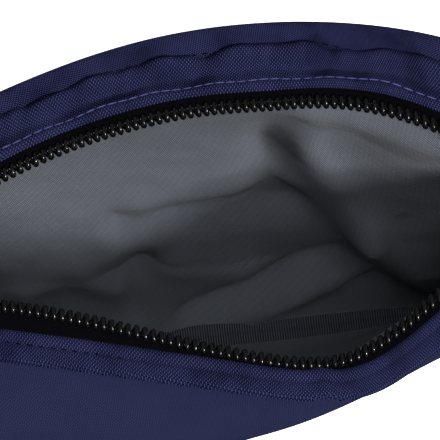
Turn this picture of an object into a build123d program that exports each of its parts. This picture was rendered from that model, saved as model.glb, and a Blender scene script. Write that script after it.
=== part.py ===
from build123d import *

import math
import os

# Cash deposit bag, standing on its bottom with the zipper open.
# Millimetres. +X runs along the zipper to the right, -Y is the front, +Z is up.
# The origin is the middle of the footprint, on the surface the bag stands on.

# Bag body
FOOT_HALF_WIDTH = 138.0        # half the bag's width at its foot
TOP_HALF_WIDTH = 130.0         # half the width at the top, where the open mouth draws the ends in
FOOT_HALF_DEPTH = 15.0         # the foot is opened flat this far each side of the bottom seam
BELLY_HALF_DEPTH = 51.0        # the walls bow out this far
BELLY_HEIGHT = 168.0
PANEL_TOP = 203.0              # top of the walls, just under the zipper tape
SHELL = 1.3                    # shell cloth with its backing
LINING = 0.5
SKIN_GAP = 0.15                # clearance between shell and lining
SEAM_GAP = 0.1                 # each panel stops this far from the seam plane
TOP_HALF_DEPTH = 50.2          # half depth just under the rim

# Mouth
LIP_REACH = 31.5               # how far each row of teeth stands from the middle at the widest
WIDEST_X = 50.0                # where the mouth is widest
MOUTH_LEFT = -95.0             # the mouth closes here on the left
MOUTH_RIGHT = 126.0            # and here on the right
MIDDLE_WAVES = ((3.2, -15.0, 32.0), (-3.9, 52.0, 24.0))  # height, place and spread of each
RIM_LEFT = -110.0
RIM_RIGHT = 118.0
BACK_RIM_REACH = 50.6          # furthest reach of the back rim
BACK_RIM_X = 33.0              # and where it is furthest
BACK_RIM_FULLNESS = (2.59, 0.767)  # how quickly it draws in, left and right of there
BACK_RIM_END = 14.0            # reach of the back rim near its two ends
RIM_SPAN = 135.0
END_SQUARENESS = 10            # the rim keeps its reach until close to the bag's ends
WALL_HEIGHTS = (SHELL + 0.05, 60.0, 115.0, BELLY_HEIGHT, PANEL_TOP)
RIBBON_POINTS = 15             # points along each line of the rim

# Seam bindings
INSIDE_FLOOR = SHELL + 0.8
BINDING_WIDTH = 7.6
BINDING_THICKNESS = 1.2
BOTTOM_BINDING_HALF = 112.0
SIDE_BINDING_BOTTOM = 12.0
SIDE_BINDING_TOP = 190.0
SIDE_BINDING_CLEAR = 7.0       # distance from the bag's side to the binding

# Zipper
TEETH_START = MOUTH_LEFT + 3.0
TEETH_END = 122.0
TEETH_GAP = 0.15               # half the gap between the two closed rows
TEETH_WIDTH = 3.35
TEETH_BOTTOM = 202.2
TEETH_TOP = 204.8
TAPE_INNER = 3.6
TAPE_OUTER = 12.0
TAPE_BOTTOM = 203.15
TAPE_TOP = 203.75
STOP_LENGTH = 2.4
STOP_CORNER = 0.8
BOTTOM_STOP_X = MOUTH_LEFT + 1.4
BOTTOM_STOP_PROUD = 0.3        # it stands this far above the teeth
TOP_STOP_LIFT = 0.1
TOP_STOP_THICKNESS = 0.9
TOP_STOP_OVERHANG = 0.5        # it reaches this far past the teeth on each side
TAB_HALF_WIDTH = 6.6
TAB_CORNER = 1.5
TAB_LEFT = (-127.0, MOUTH_LEFT - 0.5)
TAB_RIGHT = (TEETH_END + 0.5, 128.5)

# Rim cloth, measured outwards from the tips of the teeth
CLOTH_BOTTOM = 203.9
CLOTH_TOP = 205.0
BACK_FOLD_INNER = 5.4
BACK_FOLD_OUTER = 7.4
STRIP_INNER = 7.6
STRIP_LEAST = 0.6              # the strip is never narrower than this
GROOVE_GAP = 0.2               # between the strip and the band
EDGE_BAND = 5.0
FRONT_FOLD_INNER = 7.3
FRONT_RIM = 12.7
BACK_STITCH_ACROSS = 7.9
FRONT_STITCH_ACROSS = 9.4
EDGE_STITCH_INSIDE = 0.9       # the edge topstitch lies this far inside the groove
THREAD_LEFT = RIM_LEFT + 10.0
THREAD_RIGHT = RIM_RIGHT - 4.0
THREAD_WIDTH = 0.5
THREAD_HEIGHT = 0.35
THREAD_LIFT = 0.02

# Slider, with its centre against the bottom stop
SLIDER_X = -82.0
SLIDER_LENGTH = 14.0
SLIDER_FRONT_HALF = 7.1
SLIDER_REAR_HALF = 5.1
SLIDER_WALL = 1.2
SLIDER_CORNER = 1.6
PLATE = 1.3
LOWER_PLATE_Z = 200.2
UPPER_PLATE_Z = 205.5
TAPE_SLOT = (202.6, 204.3)     # the tape passes between these heights
POST_LENGTH = 3.0
POST_WIDTH = 1.0
POST_SETBACK = 0.3             # from the slider's wide end
BRIDGE_WIDTH = 3.0
BRIDGE_LENGTH = 11.0
BRIDGE_WALL = 1.5
BRIDGE_HEIGHT = 4.2
BRIDGE_CORNER = 1.2
PIN_RADIUS = 0.8
PIN_HEIGHT = 1.55              # pin axis above the upper plate
PULL_LENGTH = 30.0
PULL_WIDTH = 8.0
PULL_THICKNESS = 1.6
PULL_CORNER = 2.2
PULL_WINDOW = (8.2, 4.0)       # length and width of the window that takes the bridge
HANGING_SLOT = (5.0, 2.4)
HANGING_SLOT_INSIDE = 5.0      # from the pull's free end to the slot's middle



def smooth(t):
    """0 to 1 with level ends."""
    t = min(1.0, max(0.0, t))
    return t * t * (3.0 - 2.0 * t)


def opening(x):
    """How wide the mouth stands at x, from 0 at its corners to 1 at its widest."""
    if x < WIDEST_X:
        return smooth((x - MOUTH_LEFT) / (WIDEST_X - MOUTH_LEFT))
    return smooth((MOUTH_RIGHT - x) / (MOUTH_RIGHT - WIDEST_X))


def middle(x):
    """The gentle wave of the line midway between the two lips."""
    return sum(height * math.exp(-(((x - place) / spread) ** 2)) for height, place, spread in MIDDLE_WAVES)


def slant(x):
    """Length of the lip per unit of x, so that widths across it stay true."""
    step = 0.5
    rise = LIP_REACH * (opening(x + step) - opening(x - step)) / (2.0 * step)
    return math.sqrt(1.0 + rise * rise)


def end_round(x):
    """1 along the bag, falling to 0 at its two ends."""
    share = min(1.0, abs(x) / TOP_HALF_WIDTH)
    return math.sqrt(1.0 - share**END_SQUARENESS)


def back_line(x, across):
    """Y of a line on the back lip, at this distance outwards from the teeth."""
    return middle(x) + LIP_REACH * opening(x) + across * slant(x)


def front_line(x, across):
    """Y of a line on the front lip, at this distance outwards from the teeth."""
    return middle(x) - LIP_REACH * opening(x) - across * slant(x)


def back_rim(x, inside=0.0):
    """Y of the outer edge of the back rim."""
    if x < BACK_RIM_X:
        reach = max(0.0, 1.0 - ((BACK_RIM_X - x) / (RIM_SPAN + BACK_RIM_X)) ** 2) ** BACK_RIM_FULLNESS[0]
    else:
        reach = max(0.0, 1.0 - ((x - BACK_RIM_X) / (RIM_SPAN - BACK_RIM_X)) ** 2) ** BACK_RIM_FULLNESS[1]
    return (BACK_RIM_END + (BACK_RIM_REACH - BACK_RIM_END) * reach) * end_round(x) - inside * slant(x)


def groove_line(x):
    """Y of the stitched groove between the strip and the band."""
    return max(back_rim(x, EDGE_BAND), back_line(x, STRIP_INNER) + STRIP_LEAST)


def half_width(z):
    """Half the bag's width at this height."""
    return FOOT_HALF_WIDTH + (TOP_HALF_WIDTH - FOOT_HALF_WIDTH) * z / PANEL_TOP


def belly(z):
    """Half the bag's depth at this height, from its foot to the belly."""
    return FOOT_HALF_DEPTH + (BELLY_HALF_DEPTH - FOOT_HALF_DEPTH) * math.sin(
        math.pi / 2.0 * min(1.0, z / BELLY_HEIGHT)
    )


def wall_section(z, side, inset, thickness):
    """Thin crescent: the cut through one wall at this height."""
    depth = belly(z) if z < PANEL_TOP else TOP_HALF_DEPTH
    base = side * SEAM_GAP
    outer_end = half_width(z) - 2.0 * inset
    inner_end = outer_end - 2.0 * thickness
    outer_middle = (0.0, side * (depth - inset))
    inner_middle = (0.0, side * (depth - inset - thickness))
    with BuildSketch(Plane.XY.offset(z)) as section:
        with BuildLine():
            ThreePointArc((-outer_end, base), outer_middle, (outer_end, base))
            Line((outer_end, base), (inner_end, base))
            ThreePointArc((inner_end, base), inner_middle, (-inner_end, base))
            Line((-inner_end, base), (-outer_end, base))
        make_face()
    return section.sketch


def foot_outline(side):
    """Half of the foot: the part of a panel that is turned in under the bag."""
    base = side * SEAM_GAP
    with BuildSketch() as outline:
        with BuildLine():
            ThreePointArc((-FOOT_HALF_WIDTH, base), (0.0, side * FOOT_HALF_DEPTH), (FOOT_HALF_WIDTH, base))
            Line((FOOT_HALF_WIDTH, base), (-FOOT_HALF_WIDTH, base))
        make_face()
    return outline.sketch


def ribbon(line_inner, line_outer, left, right):
    """Flat face between two lines that both run from left to right."""
    xs = [left + (right - left) * n / (RIBBON_POINTS - 1) for n in range(RIBBON_POINTS)]
    inner = [(x, line_inner(x)) for x in xs]
    outer = [(x, line_outer(x)) for x in xs]
    with BuildSketch() as face:
        with BuildLine():
            Spline(*inner)
            Line(inner[-1], outer[-1])
            Spline(*outer)
            Line(outer[0], inner[0])
        make_face()
    return face.sketch


def save(piece, name):
    """Label one finished piece and write its file."""
    piece.part.label = name
    export_step(piece.part, "parts/" + name + ".step")


os.makedirs("parts", exist_ok=True)

# Shell: front and back panels, each with its half of the foot turned in under it
SIDES = (("front", -1), ("back", 1))
for side_name, side in SIDES:
    with BuildPart() as panel:
        loft(sections=[wall_section(z, side, 0.0, SHELL) for z in WALL_HEIGHTS], ruled=True)
    save(panel, side_name + "_panel")

    with BuildPart() as foot:
        add(foot_outline(side))
        extrude(amount=SHELL)
    save(foot, side_name + "_foot")

# Lining: the same shape, just inside the shell
for side_name, side in SIDES:
    with BuildPart() as lining:
        loft(sections=[wall_section(z, side, SHELL + SKIN_GAP, LINING) for z in WALL_HEIGHTS], ruled=True)
    save(lining, side_name + "_lining")

# Seam bindings inside the bag
with BuildPart() as bottom_seam_binding:
    with BuildSketch(Plane.XY.offset(INSIDE_FLOOR)):
        Rectangle(2.0 * BOTTOM_BINDING_HALF, BINDING_WIDTH)
    extrude(amount=BINDING_THICKNESS)
save(bottom_seam_binding, "bottom_seam_binding")

for side, name in ((-1, "side_seam_binding_left"), (1, "side_seam_binding_right")):
    with BuildPart() as side_binding:
        for z in (SIDE_BINDING_BOTTOM, SIDE_BINDING_TOP):
            centre = side * (half_width(z) - SIDE_BINDING_CLEAR - BINDING_WIDTH / 2.0)
            with BuildSketch(Plane.XY.offset(z)):
                with Locations((centre, 0.0)):
                    Rectangle(BINDING_WIDTH, BINDING_THICKNESS)
        loft()
    save(side_binding, name)

# Zipper tapes and coils
for side_name, lip_line in (("back", back_line), ("front", front_line)):
    with BuildPart() as zipper_tape:
        with BuildSketch(Plane.XY.offset(TAPE_BOTTOM)):
            add(
                ribbon(
                    lambda x: lip_line(x, TAPE_INNER),
                    lambda x: lip_line(x, TAPE_OUTER),
                    MOUTH_LEFT,
                    TEETH_END,
                )
            )
        extrude(amount=TAPE_TOP - TAPE_BOTTOM)
    save(zipper_tape, "zipper_tape_" + side_name)

    with BuildPart() as zipper_coil:
        with BuildSketch(Plane.XY.offset(TEETH_BOTTOM)):
            add(
                ribbon(
                    lambda x: lip_line(x, TEETH_GAP),
                    lambda x: lip_line(x, TEETH_GAP + TEETH_WIDTH),
                    TEETH_START,
                    TEETH_END,
                )
            )
        extrude(amount=TEETH_TOP - TEETH_BOTTOM)
    save(zipper_coil, "zipper_coil_" + side_name)

# Back rim: folded edge, puckered strip and the band along the outer edge
with BuildPart() as back_fold:
    with BuildSketch(Plane.XY.offset(CLOTH_BOTTOM)):
        add(
            ribbon(
                lambda x: back_line(x, BACK_FOLD_INNER),
                lambda x: back_line(x, BACK_FOLD_OUTER),
                MOUTH_LEFT,
                RIM_RIGHT,
            )
        )
    extrude(amount=CLOTH_TOP - CLOTH_BOTTOM)
save(back_fold, "back_fold")

with BuildPart() as top_strip:
    with BuildSketch(Plane.XY.offset(CLOTH_BOTTOM)):
        add(
            ribbon(
                lambda x: back_line(x, STRIP_INNER),
                groove_line,
                RIM_LEFT,
                RIM_RIGHT,
            )
        )
    extrude(amount=CLOTH_TOP - CLOTH_BOTTOM)
save(top_strip, "top_strip")

with BuildPart() as top_edge_band:
    with BuildSketch(Plane.XY.offset(CLOTH_BOTTOM)):
        add(
            ribbon(
                lambda x: groove_line(x) + GROOVE_GAP,
                back_rim,
                RIM_LEFT,
                RIM_RIGHT,
            )
        )
    extrude(amount=CLOTH_TOP - CLOTH_BOTTOM)
save(top_edge_band, "top_edge_band")

# Front rim: the folded edge with its padded ridge
with BuildPart() as front_fold:
    with BuildSketch(Plane.XY.offset(CLOTH_BOTTOM)):
        add(
            ribbon(
                lambda x: front_line(x, FRONT_FOLD_INNER),
                lambda x: front_line(x, FRONT_RIM),
                RIM_LEFT,
                RIM_RIGHT,
            )
        )
    extrude(amount=CLOTH_TOP - CLOTH_BOTTOM)
save(front_fold, "front_fold")

# Rows of thread that lie on the rim cloth
THREADS = (
    ("back_topstitch", lambda x: back_line(x, BACK_STITCH_ACROSS)),
    ("front_topstitch", lambda x: front_line(x, FRONT_STITCH_ACROSS)),
    ("edge_topstitch", lambda x: groove_line(x) - EDGE_STITCH_INSIDE),
)
for name, thread_line in THREADS:
    with BuildPart() as thread:
        with BuildSketch(Plane.XY.offset(CLOTH_TOP + THREAD_LIFT)):
            add(
                ribbon(
                    thread_line,
                    lambda x, thread_line=thread_line: thread_line(x) + THREAD_WIDTH,
                    THREAD_LEFT,
                    THREAD_RIGHT,
                )
            )
        extrude(amount=THREAD_HEIGHT)
    save(thread, name)

# Zipper end tabs and stops
for (low, high), name in ((TAB_LEFT, "zipper_end_tab_left"), (TAB_RIGHT, "zipper_end_tab_right")):
    with BuildPart() as tab:
        with BuildSketch(Plane.XY.offset(TAPE_BOTTOM)):
            with Locations(((low + high) / 2.0, 0.0)):
                RectangleRounded(high - low, 2.0 * TAB_HALF_WIDTH, TAB_CORNER)
        extrude(amount=CLOTH_TOP - TAPE_BOTTOM)
    save(tab, name)

with BuildPart() as zipper_bottom_stop:
    with BuildSketch(Plane.XY.offset(TEETH_BOTTOM)):
        with Locations((BOTTOM_STOP_X, 0.0)):
            RectangleRounded(STOP_LENGTH, 2.0 * TEETH_WIDTH, STOP_CORNER)
    extrude(amount=TEETH_TOP - TEETH_BOTTOM + BOTTOM_STOP_PROUD)
save(zipper_bottom_stop, "zipper_bottom_stop")

with BuildPart() as zipper_top_stop:
    with BuildSketch(Plane.XY.offset(TEETH_TOP + TOP_STOP_LIFT)):
        with Locations((TEETH_END - STOP_LENGTH / 2.0, 0.0)):
            RectangleRounded(STOP_LENGTH, 2.0 * (TEETH_WIDTH + TOP_STOP_OVERHANG), STOP_CORNER)
    extrude(amount=TOP_STOP_THICKNESS)
save(zipper_top_stop, "zipper_top_stop")

# Slider body: two wedge-shaped plates, their rims, and the post that parts the teeth
REAR_X = SLIDER_X - SLIDER_LENGTH / 2.0
FRONT_X = SLIDER_X + SLIDER_LENGTH / 2.0
UPPER_PLATE_TOP = UPPER_PLATE_Z + PLATE


def slider_outline(inset):
    """Plan of the slider, narrow at the rear and wide at the front."""
    with BuildSketch() as face:
        with BuildLine():
            Polyline(
                (REAR_X, -(SLIDER_REAR_HALF - inset)),
                (FRONT_X, -(SLIDER_FRONT_HALF - inset)),
                (FRONT_X, SLIDER_FRONT_HALF - inset),
                (REAR_X, SLIDER_REAR_HALF - inset),
                close=True,
            )
        make_face()
        if inset == 0.0:
            fillet(face.vertices(), radius=SLIDER_CORNER)
    return face.sketch


with BuildPart() as slider_body:
    with BuildSketch(Plane.XY.offset(LOWER_PLATE_Z)):
        add(slider_outline(0.0))
    extrude(amount=TAPE_SLOT[0] - LOWER_PLATE_Z)
    with BuildSketch(Plane.XY.offset(TAPE_SLOT[1])):
        add(slider_outline(0.0))
    extrude(amount=UPPER_PLATE_TOP - TAPE_SLOT[1])
    with BuildSketch(Plane.XY.offset(LOWER_PLATE_Z + PLATE)):
        add(slider_outline(SLIDER_WALL))
    extrude(amount=UPPER_PLATE_Z - LOWER_PLATE_Z - PLATE, mode=Mode.SUBTRACT)
    with BuildSketch(Plane.XY.offset(LOWER_PLATE_Z + PLATE / 2.0)):
        with Locations((FRONT_X - POST_LENGTH / 2.0 - POST_SETBACK, 0.0)):
            Rectangle(POST_LENGTH, POST_WIDTH)
    extrude(amount=UPPER_PLATE_Z - LOWER_PLATE_Z)
save(slider_body, "slider_body")

with BuildPart() as slider_bridge:
    with BuildSketch(Plane.XZ.offset(-BRIDGE_WIDTH / 2.0)):
        with Locations((SLIDER_X, UPPER_PLATE_TOP + BRIDGE_HEIGHT / 2.0)):
            Rectangle(BRIDGE_LENGTH, BRIDGE_HEIGHT)
        with Locations((SLIDER_X, UPPER_PLATE_TOP + (BRIDGE_HEIGHT - BRIDGE_WALL) / 2.0)):
            Rectangle(BRIDGE_LENGTH - 2.0 * BRIDGE_WALL, BRIDGE_HEIGHT - BRIDGE_WALL, mode=Mode.SUBTRACT)
    extrude(amount=BRIDGE_WIDTH)
    shoulders = slider_bridge.edges().filter_by(Axis.Y).group_by(Axis.Z)[-1]
    fillet(shoulders, radius=BRIDGE_CORNER)
save(slider_bridge, "slider_bridge")

# Pull: a round pin under the bridge, two arms beside it, and a flat grip
PIN_Z = UPPER_PLATE_TOP + PIN_HEIGHT
with BuildPart() as slider_pull:
    with BuildSketch(Plane.XY.offset(PIN_Z - PULL_THICKNESS / 2.0)):
        with Locations((SLIDER_X - PULL_LENGTH / 2.0, 0.0)):
            RectangleRounded(PULL_LENGTH, PULL_WIDTH, PULL_CORNER)
        with Locations((SLIDER_X - PULL_WINDOW[0] / 2.0, 0.0)):
            Rectangle(*PULL_WINDOW, mode=Mode.SUBTRACT)
        with Locations((SLIDER_X - PULL_LENGTH + HANGING_SLOT_INSIDE, 0.0)):
            SlotOverall(*HANGING_SLOT, rotation=90, mode=Mode.SUBTRACT)
    extrude(amount=PULL_THICKNESS)
    with BuildSketch(Plane.XZ.offset(-PULL_WIDTH / 2.0)):
        with Locations((SLIDER_X, PIN_Z)):
            Circle(PIN_RADIUS)
    extrude(amount=PULL_WIDTH)
save(slider_pull, "slider_pull")
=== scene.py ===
import math

import bmesh
import bpy
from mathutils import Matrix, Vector, noise


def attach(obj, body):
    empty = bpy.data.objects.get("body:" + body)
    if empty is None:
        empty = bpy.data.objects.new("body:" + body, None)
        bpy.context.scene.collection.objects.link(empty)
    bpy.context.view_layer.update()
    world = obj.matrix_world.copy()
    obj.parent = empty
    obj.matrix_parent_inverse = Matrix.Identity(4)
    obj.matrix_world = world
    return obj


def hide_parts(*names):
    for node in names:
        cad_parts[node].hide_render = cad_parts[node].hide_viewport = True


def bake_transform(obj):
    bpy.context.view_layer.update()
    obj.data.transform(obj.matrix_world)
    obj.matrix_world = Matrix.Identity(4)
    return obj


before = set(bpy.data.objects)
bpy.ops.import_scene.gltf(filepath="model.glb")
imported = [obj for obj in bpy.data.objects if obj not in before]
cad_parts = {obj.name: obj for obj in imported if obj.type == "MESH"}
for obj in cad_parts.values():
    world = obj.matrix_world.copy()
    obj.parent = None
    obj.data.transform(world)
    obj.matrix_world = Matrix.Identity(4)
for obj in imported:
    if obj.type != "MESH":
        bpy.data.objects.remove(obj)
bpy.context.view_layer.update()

# A navy cash deposit bag with a dark grey lining, standing with its zipper open.
# Shapes are worked out in millimetres and written in metres.
MM = 0.001

# The mouth, as in the CAD model
LIP_Z = 203.5
LIP_REACH = 31.5              # from the middle line to each lip at the widest place
WIDEST_X = 50.0
MOUTH_LEFT = -95.0
MOUTH_RIGHT = 126.0
MIDDLE_WAVES = ((3.2, -15.0, 32.0), (-3.9, 52.0, 24.0))   # size, centre and width

# The shell, as in the CAD model
TOP_HALF_WIDTH = 130.0
FOOT_HALF_WIDTH = 138.0
FOOT_HALF_DEPTH = 15.0
BELLY_HALF_DEPTH = 50.4
BELLY_HEIGHT = 168.0
END_SQUARENESS = 10
BACK_RIM_PEAK_X = 33.0
BACK_RIM_ENDS = ((168.0, 2.59), (102.0, 0.767))   # left, right: length and fullness
BACK_RIM_LEAST = 14.0
BACK_RIM_RISE = 36.4

# The shell's walls
SHELL_INSET = 0.6             # the walls lie this far inside the CAD's surface
FOOT_SHARE = 0.92             # share of a wall's rows above the foot's seam
FOOT_SEAM_HALF = 0.15
FOOT_SEAM_CLOTH = 16.0
WALL_TOP_DROP = 1.2
WALL_UNDER_RIM = {1: 0.9, -1: 1.6}            # each wall ends this far inside its rim's edge
WALL_TURNS_FROM = {1: 100.0, -1: BELLY_HEIGHT}
RIPPLE = 1.5

# The lining
LINING_TOP = LIP_Z - 0.8
LINING_FOOT = 2.1             # height of its bottom seam
LINING_SLACK = 7.0            # it hangs this far inside the shell
LINING_INSET = 2.6
LINING_SIDE_GAP = 4.0
LINING_EDGE = 4.6             # its top edge lies this far from the tips of the teeth
LINING_EDGE_AT_SLIDER = 8.0
LINING_TURNS_FROM = 160.0
LINING_NARROWS_BELOW = 36.0   # its two walls draw together over this height

# Lines on the rim, measured outwards from the tips of the teeth
COIL_MIDDLE = 1.9
TAPE_LINE = (2.6, 10.0)
TAPE_DIP = 6.0                # the back tape goes down under the hollow strip
TAPE_DIP_FROM = 5.6
BACK_FOLD = 5.3
FOLD_WIDTH = 2.4
STRIP_LEAST = 3.6             # narrowest that the fold and the strip become
EDGE_BAND = 5.0
FRONT_FOLD = 2.9
FRONT_RIDGE = 6.4
FRONT_TAPE_LEAST = 3.7        # the front's folded edge lies at least about this far out,
FRONT_TAPE_LEFT = 4.0         # and this much further on the left
FRONT_TAPE_RIGHT = 1.3        # or this much further on the right
PINCH = (0.8, 48.5, 2.4)      # size, centre and width of a pinch in the front's folded edge

# Heights on the rim
RIM_LIFT = 0.35               # the rim cloth lies this far above the lip's line
BACK_END_DIP = 3.0            # the rims go down towards the mouth's corners
FRONT_END_DIP = 2.5
END_DIP_FROM = 6.0            # distance from the teeth at which that dip starts

# Where each piece on the rim ends, left and right
RIM_ENDS = (-118.0, 124.0)
TAPE_ENDS = (-97.0, 125.0)
COIL_ENDS = (-92.0, 121.5)
STITCH_ENDS = (-104.0, 116.0)

SLIDER_ENDS = (-63.0, 88.0)   # the rim cloth draws back beyond these, clear of the slider
SLIDER_EASE = 8.0             # over this length
SLIDER_CLEAR = 2.7            # and by about this much
POST_X = 111.0                # the last teeth part here, around the closed slider's post
POST_PART = 1.0               # by this much on each side

COIL_PITCH = 2.0
COIL_WIRE = 0.62
COIL_HALF_WIDTH = 1.3
COIL_HALF_HEIGHT = 0.75
COIL_STEPS = 12
STITCH_PITCH = 2.75

# Ribbed tape over the lining's seams
BINDING_HALF = 3.8
BINDING_VALLEY = 0.55         # half the width of its stitched valley
BOTTOM_BINDING_HALF = 112.0
BOTTOM_BINDING_Z = 3.4
SIDE_BINDING_LOW = 14.0
SIDE_BINDING_HIGH = 188.0
SIDE_BINDING_INSET = 10.8
SIDE_BINDING_Y = -0.75

TAB_HALF_DEPTH = 6.5
TAB_SOFT_EDGE = 1.6
TAB_STITCH_LINE = 2.4

SIDES = {"back": 1, "front": -1}
HALVES = ("left", "right")


def smooth(t):
    """0 to 1 with level ends."""
    t = min(1.0, max(0.0, t))
    return t * t * (3.0 - 2.0 * t)


def hump(x, centre, width):
    """A smooth hump, 1 at its centre."""
    return math.exp(-(((x - centre) / width) ** 2))


def waves(x, rows):
    """Sum of long and short waves, each given as size, length and phase."""
    return sum(size * math.sin(x / length + phase) for size, length, phase in rows)


def opening(x):
    """How wide the mouth stands at x, from 0 at its corners to 1 at its widest."""
    if x < WIDEST_X:
        return smooth((x - MOUTH_LEFT) / (WIDEST_X - MOUTH_LEFT))
    return smooth((MOUTH_RIGHT - x) / (MOUTH_RIGHT - WIDEST_X))


def middle(x):
    """The gentle wave of the line midway between the lips."""
    return sum(size * hump(x, centre, width) for size, centre, width in MIDDLE_WAVES)


def slider_room(x):
    """1 where the slider stands at either end of its travel, 0 between."""
    left, right = SLIDER_ENDS
    return smooth((left - x) / SLIDER_EASE) + smooth((x - right) / SLIDER_EASE)


def slant(x):
    """Length of the lip per unit of x, taken as 1 where the slider stands."""
    rise = LIP_REACH * (opening(x + 0.5) - opening(x - 0.5))
    return 1.0 + (math.sqrt(1.0 + rise * rise) - 1.0) * (1.0 - slider_room(x))


def lip(side, x, across):
    """Y of a line on a lip, this far outwards from the tips of the teeth."""
    return middle(x) + side * (LIP_REACH * opening(x) + across * slant(x))


def end_round(x, width):
    """1 along the bag, falling to 0 at its two ends."""
    return math.sqrt(max(0.0, 1.0 - min(1.0, abs(x) / width) ** END_SQUARENESS))


def back_rim(x):
    """Y of the outer edge of the back rim."""
    length, fullness = BACK_RIM_ENDS[0] if x < BACK_RIM_PEAK_X else BACK_RIM_ENDS[1]
    reach = max(0.0, 1.0 - ((x - BACK_RIM_PEAK_X) / length) ** 2) ** fullness
    return (BACK_RIM_LEAST + BACK_RIM_RISE * reach) * end_round(x, TOP_HALF_WIDTH)


def front_tape(x):
    """How far from the teeth the front's folded edge lies: the tape shows most on the left."""
    pinch, centre, spread = PINCH
    width = FRONT_TAPE_LEAST + FRONT_TAPE_LEFT * (1.0 - smooth((x + 28.0) / 66.0))
    width += FRONT_TAPE_RIGHT * smooth((x - 44.0) / 22.0) - pinch * hump(x, centre, spread)
    return width + (SLIDER_CLEAR + 0.4) * slider_room(x) * smooth(x / WIDEST_X)


def back_fold(x):
    """How far from the teeth the back's folded edge lies."""
    return BACK_FOLD + SLIDER_CLEAR * slider_room(x)


def rim_width(side, x):
    """Width of the rim cloth at x, from the teeth outwards."""
    if side < 0:
        return front_tape(x) + FRONT_RIDGE
    least = back_fold(x) + STRIP_LEAST + EDGE_BAND
    return max(least, (back_rim(x) - lip(1, x, 0.0)) / slant(x))


def half_width(z):
    """Half the bag's width at this height."""
    return FOOT_HALF_WIDTH + (TOP_HALF_WIDTH - FOOT_HALF_WIDTH) * min(1.0, z / LIP_Z)


def bow(x, z, inset):
    """How far a wall bows out from the seam plane below the rim."""
    width = half_width(z) - 2.0 * inset
    swell = math.sin(math.pi / 2.0 * min(1.0, z / BELLY_HEIGHT))
    depth = FOOT_HALF_DEPTH + (BELLY_HALF_DEPTH - FOOT_HALF_DEPTH) * swell
    return max(0.0, (depth - inset) * (1.0 - min(1.0, abs(x) / width) ** 2))


def drape(x, z, size, seed):
    """Slow waves in loose cloth."""
    return noise.noise(Vector((x / size, z / size, seed)))


# ---------------------------------------------------------------- mesh helpers


def x_range(half, ends):
    """The stretch of x that one half of a split piece covers."""
    return (ends[0], WIDEST_X) if half == "left" else (WIDEST_X, ends[1])


def add(name, data):
    """A new object in the scene."""
    made = bpy.data.objects.new(name, data)
    bpy.context.scene.collection.objects.link(made)
    return made


def put(name, bm, material):
    """Make an object of a finished bmesh."""
    mesh = bpy.data.meshes.new(name)
    bm.to_mesh(mesh)
    bm.free()
    piece = add(name, mesh)
    mesh.materials.append(material)
    for polygon in mesh.polygons:
        polygon.use_smooth = True
    return piece


def evaluated(piece):
    """The mesh that a piece's modifiers or bevel give."""
    graph = bpy.context.evaluated_depsgraph_get()
    return bpy.data.meshes.new_from_object(piece.evaluated_get(graph))


def cloth(name, place, columns, rows, thickness, material):
    """A sheet, from place(a, b) with a and b from 0 to 1.

    It gives a point in millimetres and that point's two distances along the cloth.
    """
    bm = bmesh.new()
    bmesh.ops.create_grid(bm, x_segments=columns, y_segments=rows, size=1.0)
    weave = bm.loops.layers.uv.new("weave")
    laid = {}
    for vert in bm.verts:
        point, flat = place((vert.co.x + 1.0) / 2.0, (vert.co.y + 1.0) / 2.0)
        laid[vert] = flat
        vert.co = Vector(point) * MM
    for face in bm.faces:
        for loop in face.loops:
            loop[weave].uv = laid[loop.vert]
    piece = put(name, bm, material)
    wall = piece.modifiers.new("thickness", "SOLIDIFY")
    wall.thickness = thickness * MM
    wall.offset = 0.0
    wall.use_even_offset = False
    mesh = evaluated(piece)
    piece.modifiers.clear()
    piece.data = mesh
    piece.data.set_sharp_from_angle(angle=math.radians(55.0))
    return piece


def follow(piece):
    """Bake a piece's placement into its mesh."""
    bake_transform(piece)


# ---------------------------------------------------------------- materials


def shader_of(material):
    """A material's main shader node."""
    return material.node_tree.nodes["Principled BSDF"]


class Nodes:
    """Short calls for a material's nodes."""

    def __init__(self, name):
        self.material = bpy.data.materials.new(name)
        self.material.use_nodes = True
        self.tree = self.material.node_tree
        self.shader = shader_of(self.material)

    def node(self, kind, links=None, **settings):
        """Add a node, set its fields and link its inputs."""
        made = self.tree.nodes.new(kind)
        for field, value in settings.items():
            setattr(made, field, value)
        for socket, value in (links or {}).items():
            if isinstance(value, bpy.types.NodeSocket):
                self.tree.links.new(value, made.inputs[socket])
            else:
                made.inputs[socket].default_value = value
        return made

    def math(self, operation, a, b=0.0):
        """One arithmetic step."""
        return self.node("ShaderNodeMath", {0: a, 1: b}, operation=operation).outputs[0]

    def ramp(self, value, low, high):
        """Mix two colours by a value."""
        mix = self.node("ShaderNodeMix", data_type="RGBA")
        self.tree.links.new(value, mix.inputs["Factor"])
        mix.inputs["A"].default_value = (*low, 1.0)
        mix.inputs["B"].default_value = (*high, 1.0)
        return mix.outputs["Result"]

    def noise(self, vector, scale, detail=3.0):
        """Soft random variation from 0 to 1."""
        inputs = {"Vector": vector, "Scale": scale, "Detail": detail}
        return self.node("ShaderNodeTexNoise", inputs).outputs["Fac"]

    def finish(self, colour, height, relief, roughness):
        """Link colour, relief in millimetres and roughness to the shader."""
        self.tree.links.new(colour, self.shader.inputs["Base Color"])
        inputs = {"Height": height, "Distance": relief * MM, "Strength": 1.0}
        bump = self.node("ShaderNodeBump", inputs)
        self.tree.links.new(bump.outputs["Normal"], self.shader.inputs["Normal"])
        if isinstance(roughness, bpy.types.NodeSocket):
            self.tree.links.new(roughness, self.shader.inputs["Roughness"])
        else:
            self.shader.inputs["Roughness"].default_value = roughness
        return self.material


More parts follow.
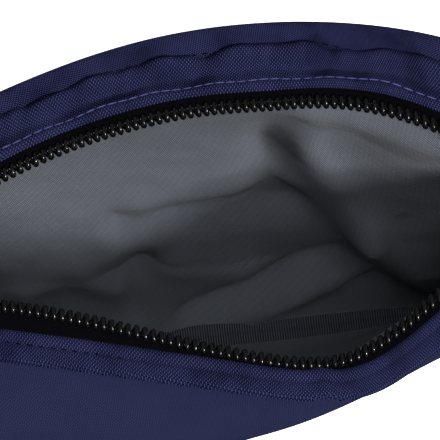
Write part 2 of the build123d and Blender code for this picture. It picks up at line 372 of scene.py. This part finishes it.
def plain_weave(n, cell, weft_painted_dimming):
    """Height and painted light of a plain weave, cell millimetres apart: painted highlight on the
    crowns, painted shade between the threads, and the weft painted darker by a share for its weaker
    reflection.
    """
    uv = n.node("ShaderNodeUVMap", uv_map="weave").outputs["UV"]
    per_cell = (1.0 / cell, 1.0 / cell, 0.0)
    scaled = n.node("ShaderNodeVectorMath", {0: uv, 1: per_cell}, operation="MULTIPLY").outputs[0]
    parts = n.node("ShaderNodeSeparateXYZ", {0: scaled})
    over = n.node("ShaderNodeTexChecker", {"Vector": scaled, "Scale": 1.0}).outputs["Fac"]
    warp = n.math("ABSOLUTE", n.math("SINE", n.math("MULTIPLY", parts.outputs[0], math.pi)))
    weft = n.math("ABSOLUTE", n.math("SINE", n.math("MULTIPLY", parts.outputs[1], math.pi)))
    high = n.math("MULTIPLY", n.math("MULTIPLY", warp, warp), over)
    low = n.math("MULTIPLY", n.math("MULTIPLY", weft, weft), n.math("SUBTRACT", 1.0, over))
    # the weft crowns are painted darker by this share: painted shade for their weaker reflection
    dull = n.math("MULTIPLY", low, 1.0 - weft_painted_dimming)
    return uv, n.math("ADD", high, low), n.math("ADD", high, dull)


def woven(name, cell, dark, light, relief, roughness, sheen, patch, weft_painted_dimming):
    """Woven cloth: painted highlight on the thread crowns and painted shade between the threads,
    times a slow uneven tone of size patch.
    """
    n = Nodes(name)
    uv, threads, crowns = plain_weave(n, cell, weft_painted_dimming)
    cloud = n.noise(uv, 0.08)
    fibre = n.noise(uv, 3.0, 2.0)
    uneven = n.math("ADD", 1.0 - patch, n.math("MULTIPLY", cloud, 2.0 * patch))
    # the colour follows the thread crowns: painted highlight on them, painted shade between them
    shade = n.math("MULTIPLY", crowns, uneven)
    colour = n.ramp(shade, dark, light)
    rough = n.math("ADD", roughness - 0.06, n.math("MULTIPLY", fibre, 0.12))
    height = n.math("ADD", threads, n.math("MULTIPLY", fibre, 0.35))
    n.shader.inputs["Sheen Weight"].default_value = sheen
    n.shader.inputs["Sheen Roughness"].default_value = 0.4
    return n.finish(colour, height, relief, rough)


def ribbed(name, pitch, slope, dark, light, relief, roughness):
    """Ribbed tape: ribs across its length or aslant, with a faint fibre, its colour painted lighter
    on the rib crests and darker between them as painted highlight and shade.
    """
    n = Nodes(name)
    uv = n.node("ShaderNodeUVMap", uv_map="weave").outputs["UV"]
    parts = n.node("ShaderNodeSeparateXYZ", {0: uv})
    lean = n.math("ADD", parts.outputs[0], n.math("MULTIPLY", parts.outputs[1], slope))
    rib = n.math("ABSOLUTE", n.math("SINE", n.math("MULTIPLY", lean, math.pi / pitch)))
    fibre = n.noise(uv, 2.5, 2.0)
    height = n.math("ADD", rib, n.math("MULTIPLY", fibre, 0.3))
    # painted highlight on the rib crests, painted shade between them
    return n.finish(n.ramp(rib, dark, light), height, relief, roughness)


def solid_finish(name, dark, light, roughness, relief, coat=0.0):
    """Moulded nylon, thread or enamel: fine unevenness and slightly paler wear."""
    n = Nodes(name)
    where = n.node("ShaderNodeTexCoord").outputs["Object"]
    grain = n.noise(where, 900.0)
    wear = n.noise(where, 160.0, 4.0)
    rough = n.math("ADD", roughness - 0.05, n.math("MULTIPLY", wear, 0.14))
    n.shader.inputs["Coat Weight"].default_value = coat
    return n.finish(n.ramp(n.math("POWER", wear, 2.5), dark, light), grain, relief, rough)


# Its strong uneven patches are partly a random tone and partly painted shade and light for the
# puckered strip
shell_cloth = woven(
    "navy_oxford", 0.44, (0.0002, 0.0003, 0.0016), (0.0430, 0.0470, 0.1350),
    relief=0.24, roughness=0.85, sheen=0.0, patch=1.1, weft_painted_dimming=0.75,
)
panel_cloth = woven(
    "navy_oxford_panel", 0.44, (0.0060, 0.0068, 0.0200), (0.0200, 0.0225, 0.0600),
    relief=0.04, roughness=1.0, sheen=0.0, patch=0.25, weft_painted_dimming=0.5,
)
lining_cloth = woven(
    "grey_lining", 0.31, (0.006, 0.007, 0.009), (0.330, 0.360, 0.420),
    relief=0.10, roughness=0.5, sheen=0.04, patch=0.12, weft_painted_dimming=0.55,
)
tape_cloth = ribbed(
    "black_tape", 0.62, 0.9, (0.0003, 0.0003, 0.0005), (0.0024, 0.0024, 0.0032),
    relief=0.12, roughness=1.0,
)
# its pale ribs are painted highlights
binding_cloth = ribbed(
    "ribbed_binding", 0.70, 0.0, (0.0015, 0.002, 0.003), (0.080, 0.088, 0.108),
    relief=0.3, roughness=0.8,
)
coil_nylon = solid_finish(
    "black_nylon", (0.0008, 0.0008, 0.0010), (0.0024, 0.0024, 0.0030), roughness=0.17, relief=0.005
)
lilac_thread = solid_finish(
    "lilac_thread", (0.035, 0.038, 0.11), (0.085, 0.092, 0.20), roughness=0.6, relief=0.03
)
navy_thread = solid_finish(
    "navy_thread", (0.002, 0.002, 0.007), (0.006, 0.006, 0.020), roughness=0.7, relief=0.03
)
black_enamel = solid_finish(
    "black_enamel", (0.008, 0.008, 0.009), (0.05, 0.05, 0.052),
    roughness=0.28, relief=0.01, coat=0.5,
)

# Dull cloth and thread give no mirror reflection, and the nylon only a small one
for dull in (shell_cloth, panel_cloth, tape_cloth, binding_cloth, lilac_thread, navy_thread):
    shader_of(dull).inputs["Specular IOR Level"].default_value = 0.0
shader_of(coil_nylon).inputs["Specular IOR Level"].default_value = 0.30


# ---------------------------------------------------------------- rim cloth


GATHER_WAVES = ((17.0, 0.4, 0.9), (9.3, 2.1, 0.55), (31.0, 4.0, 0.9), (4.9, 1.0, 0.12))
TUCKS = ((29.0, 3.4), (60.5, 3.2), (7.0, 1.8), (-17.0, 2.2), (-41.0, 1.6), (88.0, 1.6))
TUCK_WIDTH = 2.6
GATHER_LEAN = 3.0             # the gathers run a little aslant


def pucker(x, closeness):
    """Gathers that run in from the stitched groove: slow waves, and deeper tucks at some places."""
    wave = 0.0
    for wavelength, phase, size in GATHER_WAVES:
        wave += size * math.sin(2.0 * math.pi * x / wavelength + phase)
    for centre, depth in TUCKS:
        wave -= depth * hump(x, centre, TUCK_WIDTH)
    return wave * closeness


def groove_line(x):
    """The stitched groove between the strip and the band, which wanders a little."""
    wander = waves(x, ((0.45, 6.3, 0.6), (0.35, 3.1, 2.0)))
    return rim_width(1, x) - EDGE_BAND + wander


def fold_line(x):
    """The stitched valley beside the back's folded edge."""
    wander = waves(x, ((0.22, 5.1, 0.0), (0.16, 2.3, 1.0)))
    return back_fold(x) + FOLD_WIDTH + wander


def trough(x, t):
    """Height of the strip from its stitched valley, t = 0, to the groove: a hollow, then a roll."""
    hollow = 2.4 + waves(x, ((0.9, 9.0, 0.8), (0.4, 4.3, 0.0)))
    roll = 1.9 + waves(x, ((0.45, 7.0, 2.0),))
    over = min(1.0, max(0.0, (t - 0.45) / 0.55)) ** 1.6
    return -hollow * hump(t, 0.3, 0.2) * smooth(t / 0.12) + roll * math.sin(math.pi * over)


def back_strip_place(half):
    """The folded edge, the topstitched valley and the puckered strip, out to the groove."""
    x0, x1 = x_range(half, RIM_ENDS)
    folded = 0.28
    strip_cloth = 13.0

    def place(a, b):
        x = x0 + (x1 - x0) * a
        groove = groove_line(x)
        valley = fold_line(x)
        if b < folded:
            t = b / folded
            across = back_fold(x) + (valley - back_fold(x)) * t
            z = LIP_Z + RIM_LIFT + math.sin(math.pi * t) ** 0.9
        else:
            t = (b - folded) / (1.0 - folded)
            across = valley + (groove - valley) * t
            z = LIP_Z + RIM_LIFT + trough(x, t) * min(1.0, (groove - valley) / strip_cloth)
            closeness = t**0.8 * min(1.0, (1.0 - t) / 0.12 + 0.35)
            z += pucker(x + GATHER_LEAN * (1.0 - t), closeness)
            z -= 0.9 * hump(t, 1.0, 0.07)
        dip = max(0.0, (across - END_DIP_FROM) / strip_cloth)
        z -= BACK_END_DIP * (1.0 - opening(x)) * dip
        return (x, lip(1, x, across), z), (x * slant(x), across)

    return place


def edge_band_place(half):
    """The band outside the groove, rolled over the back's top edge and a little way down."""
    x0, x1 = x_range(half, RIM_ENDS)
    rolled = 0.62
    hem = 9.0

    def place(a, b):
        x = x0 + (x1 - x0) * a
        outer = rim_width(1, x)
        t = min(1.0, b / rolled)
        groove = groove_line(x)
        across = groove + (outer - groove) * math.sin(math.pi / 2.0 * t) ** 0.9
        z = LIP_Z - 0.7 + 2.3 * math.sin(math.pi * min(1.0, t * 0.85)) ** 0.6
        z += pucker(x + GATHER_LEAN, 0.28 * (1.0 - t))
        if b > rolled:
            down = (b - rolled) / (1.0 - rolled)
            z -= hem * down
            across -= 0.5 * down
        z -= BACK_END_DIP * (1.0 - opening(x))
        return (x, lip(1, x, across), z), (x * slant(x), across + 12.0 * b)

    return place


def front_rim_place(half):
    """The front's folded edge, its stitched groove and the padded ridge beside it."""
    x0, x1 = x_range(half, RIM_ENDS)
    folded = 0.42
    outer_turn = 0.72         # the ridge turns down beyond this

    def place(a, b):
        x = x0 + (x1 - x0) * a
        if b < folded:
            t = b / folded
            across = front_tape(x) + FRONT_FOLD * t
            z = LIP_Z + RIM_LIFT + 0.95 * math.sin(math.pi * t) ** 0.7
        else:
            t = (b - folded) / (1.0 - folded)
            across = front_tape(x) + FRONT_FOLD
            across += (FRONT_RIDGE - FRONT_FOLD + 0.6) * math.sin(math.pi / 2.0 * t) ** 0.9
            z = LIP_Z + 0.25 + 1.3 * math.sin(math.pi * min(1.0, t * 0.8)) ** 0.6
            z -= 3.4 * max(0.0, t - outer_turn) / (1.0 - outer_turn)
            z += pucker(x, 0.16 * math.sin(math.pi * t))
        z -= FRONT_END_DIP * (1.0 - opening(x)) * max(0.0, (across - END_DIP_FROM) / 7.0)
        return (x, lip(-1, x, across), z), (x * slant(x), across)

    return place


def tape_place(side, half):
    """Zipper tape from the coil to under the folded cloth; the back one dips under the strip."""
    x0, x1 = x_range(half, TAPE_ENDS)
    inner, outer = TAPE_LINE

    def place(a, b):
        x = x0 + (x1 - x0) * a
        across = inner + (outer - inner) * b
        z = LIP_Z - 0.1 + 0.1 * math.sin(x / 3.0)
        if side > 0:
            dip = smooth((across - TAPE_DIP_FROM) / (outer - TAPE_DIP_FROM))
            z -= TAPE_DIP * dip * (1.0 - slider_room(x))
        return (x, lip(side, x, across), z), (x * slant(x), across)

    return place


# ---------------------------------------------------------------- walls


def across_half(half, width, a):
    """X on one half of a wall that is 2 * width wide, for a from 0 to 1."""
    if half == "left":
        return -width + (WIDEST_X + width) * a
    return WIDEST_X + (width - WIDEST_X) * a


def wall_place(side, half):
    """A shell panel, from under the rim down over the belly to the foot's seam."""
    turns_from = WALL_TURNS_FROM[side]

    def place(a, b):
        z = SHELL_INSET + (LIP_Z - SHELL_INSET) * (1.0 - min(1.0, b / FOOT_SHARE))
        width = half_width(z) - SHELL_INSET
        x = across_half(half, width, a)
        ends = end_round(x, width)
        rim = (side * lip(side, x, rim_width(side, x) - WALL_UNDER_RIM[side])) * ends
        turn = smooth((z - turns_from) / (LIP_Z - turns_from))
        belly = bow(x, z, SHELL_INSET)
        ripple = RIPPLE * drape(x, z * 0.5, 34.0, 3.0 + side) * smooth(z / 60.0) * ends
        y = belly + (rim - belly) * turn + ripple * (1.0 - turn) - SHELL_INSET * (1.0 - turn)
        # the two panels never meet above the seam
        y = max(y, 0.7 * (1.0 - abs(x) / (width + 1.0)) + 0.1)
        closing = max(0.0, b - FOOT_SHARE) / (1.0 - FOOT_SHARE)
        if closing > 0.0:
            y = FOOT_SEAM_HALF + (y - FOOT_SEAM_HALF) * (1.0 - closing)
        point = (x, side * y, z - WALL_TOP_DROP * turn)
        return point, (x, LIP_Z - z + FOOT_SEAM_CLOTH * closing)

    return place


# Long soft folds of the lining, as seen from above the mouth: two ends, width and height
FOLDS = (
    ((-28.4, -6.3), (6.3, 9.7), 5.5, 3.0),
    ((0.0, 11.4), (50.0, 9.8), 3.2, -4.4),
    ((42.0, 26.0), (43.0, 14.0), 6.5, -4.2),
    ((53.0, 27.0), (66.0, 9.0), 5.5, 4.6),
    ((66.0, 9.0), (84.0, -11.0), 5.5, 4.6),
    ((74.0, 10.0), (86.0, -6.0), 13.0, 7.5),
    ((16.0, -3.0), (31.0, -6.0), 7.5, 3.4),
    ((-9.0, -5.0), (-3.0, -9.0), 5.5, 3.0),
    ((5.0, -1.0), (0.0, -22.0), 3.8, -2.6),
    ((60.0, -5.0), (17.0, -25.0), 4.6, -4.6),
    ((64.0, -13.0), (34.0, -27.0), 3.4, 2.4),
    ((66.0, -17.0), (88.0, -21.0), 5.0, -3.0),
)


SIGHT_SLOPE = (0.019, 0.157)  # shift in x and y per unit of depth, looking in from above the front


def seen_from_above(x, y, z):
    """Where a point inside the bag shows in the plane of the mouth."""
    depth = LIP_Z - z
    return x - SIGHT_SLOPE[0] * depth, y - SIGHT_SLOPE[1] * depth


def fold_height(x, y):
    """Sum of the lining's long folds at a point of the mouth's plane."""
    total = 0.0
    for (x0, y0), (x1, y1), width, height in FOLDS:
        dx, dy = x1 - x0, y1 - y0
        t = min(1.0, max(0.0, ((x - x0) * dx + (y - y0) * dy) / (dx * dx + dy * dy)))
        gap = (x - x0 - dx * t) ** 2 + (y - y0 - dy * t) ** 2
        total += height * math.exp(-gap / (width * width))
    return total


def lining_place(side, half):
    """The lining, from under the tape down to the bottom seam, where its walls draw together."""

    def place(a, b):
        z = LINING_FOOT + (LINING_TOP - LINING_FOOT) * (1.0 - b)
        width = half_width(z) - LINING_SIDE_GAP
        x = across_half(half, width, a)
        ends = end_round(x, width)
        drawn_back = LINING_EDGE_AT_SLIDER / max(0.6, ends) - LINING_EDGE
        rim = side * lip(side, x, LINING_EDGE + drawn_back * slider_room(x)) * ends
        belly = bow(x, z, LINING_INSET)
        turn = smooth((z - LINING_TURNS_FROM) / (LIP_Z - LINING_TURNS_FROM))
        y = belly + (rim - belly) * turn
        y *= math.sqrt(min(1.0, (z - LINING_FOOT) / LINING_NARROWS_BELOW))
        if side > 0:
            relief = fold_height(*seen_from_above(x, side * y, z))
        else:
            relief = 1.5 * drape(x, z, 22.0, 9.0)
        relief += 0.8 * drape(x, z, 26.0, 5.0) + 0.3 * drape(x, z, 9.0, 7.0)
        relief *= smooth((LIP_Z - z) / 40.0) * ends**2 * smooth(y / 8.0)
        relief = max(relief, -LINING_SLACK + 0.6)
        hang = LINING_SLACK * smooth((LIP_Z - z) / 30.0) * smooth(y / 10.0) * smooth(z / 60.0)
        y = max(y - relief - hang, min(y, 1.0), 0.12)
        point = (x, side * y, z + 0.35 * max(0.0, relief))
        return point, seen_from_above(*point)

    return place


# ---------------------------------------------------------------- coil and thread


def coil(side, half):
    """One half of a nylon coil: a flattened helix with a thicker head on each turn."""
    name = ("back" if side > 0 else "front") + "_coil_" + half
    x0, x1 = x_range(half, COIL_ENDS)
    points = COIL_STEPS * int(round((x1 - x0) / COIL_PITCH))
    wire = bpy.data.curves.new(name, "CURVE")
    wire.dimensions = "3D"
    wire.bevel_depth = COIL_WIRE * MM
    wire.bevel_resolution = 2
    wire.use_fill_caps = True
    line = wire.splines.new("POLY")
    line.points.add(points)
    for n in range(points + 1):
        turn = n / COIL_STEPS + (0.0 if side > 0 else 0.5)
        angle = 2.0 * math.pi * turn
        part = turn - math.floor(turn)
        # the upper leg runs straight across, and the lower one carries the wire to the next turn
        advance = math.floor(turn) + smooth((part - 0.5) / 0.5)
        x = min(x1, x0 + COIL_PITCH * advance)
        reach = math.cos(angle)
        across = COIL_MIDDLE + POST_PART * smooth((x - POST_X) / 2.0) - COIL_HALF_WIDTH * reach
        z = LIP_Z + 0.05 + COIL_HALF_HEIGHT * math.sin(angle)
        line.points[n].co = (x * MM, lip(side, x, across) * MM, z * MM, 1.0)
        line.points[n].radius = 1.0 + 0.3 * max(0.0, reach) ** 3
    carrier = add(name + "_wire", wire)
    mesh = evaluated(carrier)
    bpy.data.objects.remove(carrier)
    bm = bmesh.new()
    bm.from_mesh(mesh)
    bmesh.ops.remove_doubles(bm, verts=bm.verts, dist=1e-6)
    bmesh.ops.recalc_face_normals(bm, faces=bm.faces)
    bpy.data.meshes.remove(mesh)
    return put(name, bm, coil_nylon)


def stitches(name, half, line, length, width, thread):
    """A row of stitches: line(x) gives the y and z that each one lies at."""
    x0, x1 = x_range(half, STITCH_ENDS)
    bm = bmesh.new()
    step = -STITCH_PITCH if half == "left" else STITCH_PITCH
    x = WIDEST_X + step / 2.0
    while x0 < x < x1:
        made = bmesh.ops.create_uvsphere(bm, u_segments=8, v_segments=5, radius=0.5)
        ahead, behind = line(x + 0.5), line(x - 0.5)
        here = line(x)
        turn = math.atan2(ahead[0] - behind[0], 1.0)
        for vert in made["verts"]:
            along = vert.co.x * length
            off = vert.co.y * width
            vert.co = Vector((
                x + along * math.cos(turn) - off * math.sin(turn),
                here[0] + along * math.sin(turn) + off * math.cos(turn),
                here[1] + vert.co.z * width,
            )) * MM
        x += step
    return put(name, bm, thread)


def back_row(x):
    """The back's topstitch, in the valley beside its folded edge."""
    return lip(1, x, fold_line(x)), LIP_Z + 0.9


def front_row(x):
    """The front's topstitch, beside its folded edge."""
    return lip(-1, x, front_tape(x) + FRONT_FOLD), LIP_Z + 0.6


def edge_row(x):
    """The stitches in the groove between the back's strip and its edge band."""
    return lip(1, x, groove_line(x)), LIP_Z - 0.4 - BACK_END_DIP * (1.0 - opening(x))


# ---------------------------------------------------------------- build
# Each cloth call ends with: columns, rows, thickness in millimetres, material

for side_name, side in SIDES.items():
    for half in HALVES:
        name = f"{side_name}_tape_{half}"
        tape = cloth(name, tape_place(side, half), 150, 8, 0.5, tape_cloth)
        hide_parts("zipper_tape_" + side_name)
        follow(tape)

        turns = coil(side, half)
        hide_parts("zipper_coil_" + side_name)
        follow(turns)

        name = f"{side_name}_wall_{half}"
        wall = cloth(name, wall_place(side, half), 90, 110, 1.1, panel_cloth)
        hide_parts(side_name + "_panel", side_name + "_foot")
        follow(wall)

        name = f"{side_name}_lining_{half}"
        inside = cloth(name, lining_place(side, half), 120, 150, 0.4, lining_cloth)
        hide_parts(side_name + "_lining")
        follow(inside)

for half in HALVES:
    name = f"top_strip_{half}"
    strip = cloth(name, back_strip_place(half), 260, 44, 0.7, shell_cloth)
    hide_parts("top_strip", "back_fold")
    follow(strip)

    name = f"edge_band_{half}"
    band = cloth(name, edge_band_place(half), 200, 24, 0.7, shell_cloth)
    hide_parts("top_edge_band")
    follow(band)

    name = f"front_rim_{half}"
    rim = cloth(name, front_rim_place(half), 260, 28, 0.7, shell_cloth)
    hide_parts("front_fold")
    follow(rim)

    row = stitches(f"back_topstitch_{half}", half, back_row, 2.9, 0.46, lilac_thread)
    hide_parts("back_topstitch")
    follow(row)

    row = stitches(f"front_topstitch_{half}", half, front_row, 1.5, 0.34, navy_thread)
    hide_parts("front_topstitch")
    follow(row)

    row = stitches(f"edge_topstitch_{half}", half, edge_row, 1.9, 0.36, navy_thread)
    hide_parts("edge_topstitch")
    follow(row)


def binding(name, node, start, end, wide, proud):
    """Ribbed tape over a seam, from start to end: two bands with a stitched valley between."""
    run = Vector(end) - Vector(start)
    spread = Vector(wide).normalized()
    raised = Vector(proud).normalized()

    def place(a, b):
        angle = b * 2.0 * math.pi
        along = a * run.length
        off = -BINDING_HALF * math.cos(angle)
        thick = 0.62 * math.sin(angle) * (1.0 - 0.85 * hump(off, 0.0, BINDING_VALLEY))
        wander = waves(along, ((0.5, 19.0, 0.0), (0.3, 7.0, 0.0)))
        ruck = 0.35 * math.sin(along / 5.0 + off) * abs(off) / BINDING_HALF
        point = Vector(start) + run * a + spread * (off + wander)
        point += raised * (0.75 + thick + max(0.0, ruck))
        return tuple(point), (along, off + (7.0 if b > 0.5 else 0.0))

    columns = max(60, int(run.length / 1.2))
    tape = cloth(name, place, columns, 48, 0.2, binding_cloth)
    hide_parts(node)
    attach(tape, "bag")


low = (-BOTTOM_BINDING_HALF, 0.0, BOTTOM_BINDING_Z)
high = (BOTTOM_BINDING_HALF, 0.0, BOTTOM_BINDING_Z)
binding("bottom_binding", "bottom_seam_binding", low, high, (0, 1, 0), (0, 0, 1))
for sign, name in ((-1.0, "left"), (1.0, "right")):
    low, high = (
        (sign * (half_width(z) - SIDE_BINDING_INSET), SIDE_BINDING_Y, z)
        for z in (SIDE_BINDING_LOW, SIDE_BINDING_HIGH)
    )
    binding("side_binding_" + name, "side_seam_binding_" + name, low, high, (1, 0, 0), (0, 1, 0))


def end_tab(name, node, low, high):
    """Folded cloth over one end of the zipper, soft at its edges, with a stitched line."""
    length = high - low
    depth = 2.0 * TAB_HALF_DEPTH

    def place(a, b):
        x = low + length * a
        y = -TAB_HALF_DEPTH + depth * b
        edge = min(a * length, (1.0 - a) * length, b * depth, (1.0 - b) * depth)
        z = LIP_Z + 0.1 + 0.9 * smooth(edge / TAB_SOFT_EDGE)
        z -= 0.3 * hump(edge, TAB_STITCH_LINE, 0.4)
        return (x, y, z), (x, y)

    tab = cloth(name, place, 44, 26, 0.6, shell_cloth)
    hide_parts(node)
    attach(tab, "bag")


end_tab("end_tab_left", "zipper_end_tab_left", -126.5, -95.8)
end_tab("end_tab_right", "zipper_end_tab_right", 122.8, 128.2)

# The hard pieces keep the CAD's own shapes
HARD = ("slider_body", "slider_bridge", "slider_pull", "zipper_bottom_stop", "zipper_top_stop")
for node in HARD:
    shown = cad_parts[node]
    shown.data.materials.clear()
    shown.data.materials.append(black_enamel)

# ---------------------------------------------------------------- floor, light and camera

WHITE = (1.0, 1.0, 1.0, 1.0)


def make_floor():
    """A plain pale floor that glows a little, so that it stays white around the bag."""
    bm = bmesh.new()
    bmesh.ops.create_grid(bm, x_segments=1, y_segments=1, size=6.0)
    mesh = bpy.data.meshes.new("floor")
    bm.to_mesh(mesh)
    bm.free()
    floor = add("floor", mesh)
    pale = bpy.data.materials.new("pale_floor")
    pale.use_nodes = True
    inputs = shader_of(pale).inputs
    inputs["Base Color"].default_value = (0.94, 0.94, 0.94, 1.0)
    inputs["Roughness"].default_value = 0.9
    inputs["Emission Color"].default_value = WHITE
    inputs["Emission Strength"].default_value = 0.9
    mesh.materials.append(pale)


def soft_light(name, place, aim, size, power):
    """A square softbox."""
    light = bpy.data.lights.new(name, "AREA")
    light.size = size
    light.energy = power
    holder = add(name, light)
    holder.location = place
    holder.rotation_euler = (Vector(aim) - Vector(place)).to_track_quat("-Z", "Y").to_euler()
    return holder


make_floor()
soft_light("key", (0.60, -0.58, 1.52), (0.02, 0.0, 0.17), 0.22, 40.0)
fill = soft_light("fill", (0.16, -0.24, 1.95), (0.03, 0.0, 0.05), 0.40, 16.0)
fill.visible_glossy = False   # so that each tooth shows one highlight

world = bpy.data.worlds.new("studio")
world.use_nodes = True
background = world.node_tree.nodes["Background"]
background.inputs["Color"].default_value = WHITE
background.inputs["Strength"].default_value = 0.30
bpy.context.scene.world = world
bpy.context.scene.view_settings.view_transform = "Standard"

VIEW_AZIMUTH = math.radians(-7.0)
VIEW_ELEVATION = math.radians(81.0)
VIEW_DISTANCE = 1.5
FIELD = 0.110                 # width of the mouth's plane that the picture takes in
AIM = Vector((28.0, 2.0, LIP_Z)) * MM
camera = bpy.data.cameras.new("camera")
camera.sensor_width = 36.0
camera.lens = camera.sensor_width * VIEW_DISTANCE / FIELD
camera.clip_start = 0.05
camera.clip_end = 50.0
holder = add("camera", camera)
back = Vector((
    math.sin(VIEW_AZIMUTH) * math.cos(VIEW_ELEVATION),
    -math.cos(VIEW_AZIMUTH) * math.cos(VIEW_ELEVATION),
    math.sin(VIEW_ELEVATION),
))
holder.location = AIM + back * VIEW_DISTANCE
holder.rotation_euler = (-back).to_track_quat("-Z", "Y").to_euler()
bpy.context.scene.camera = holder
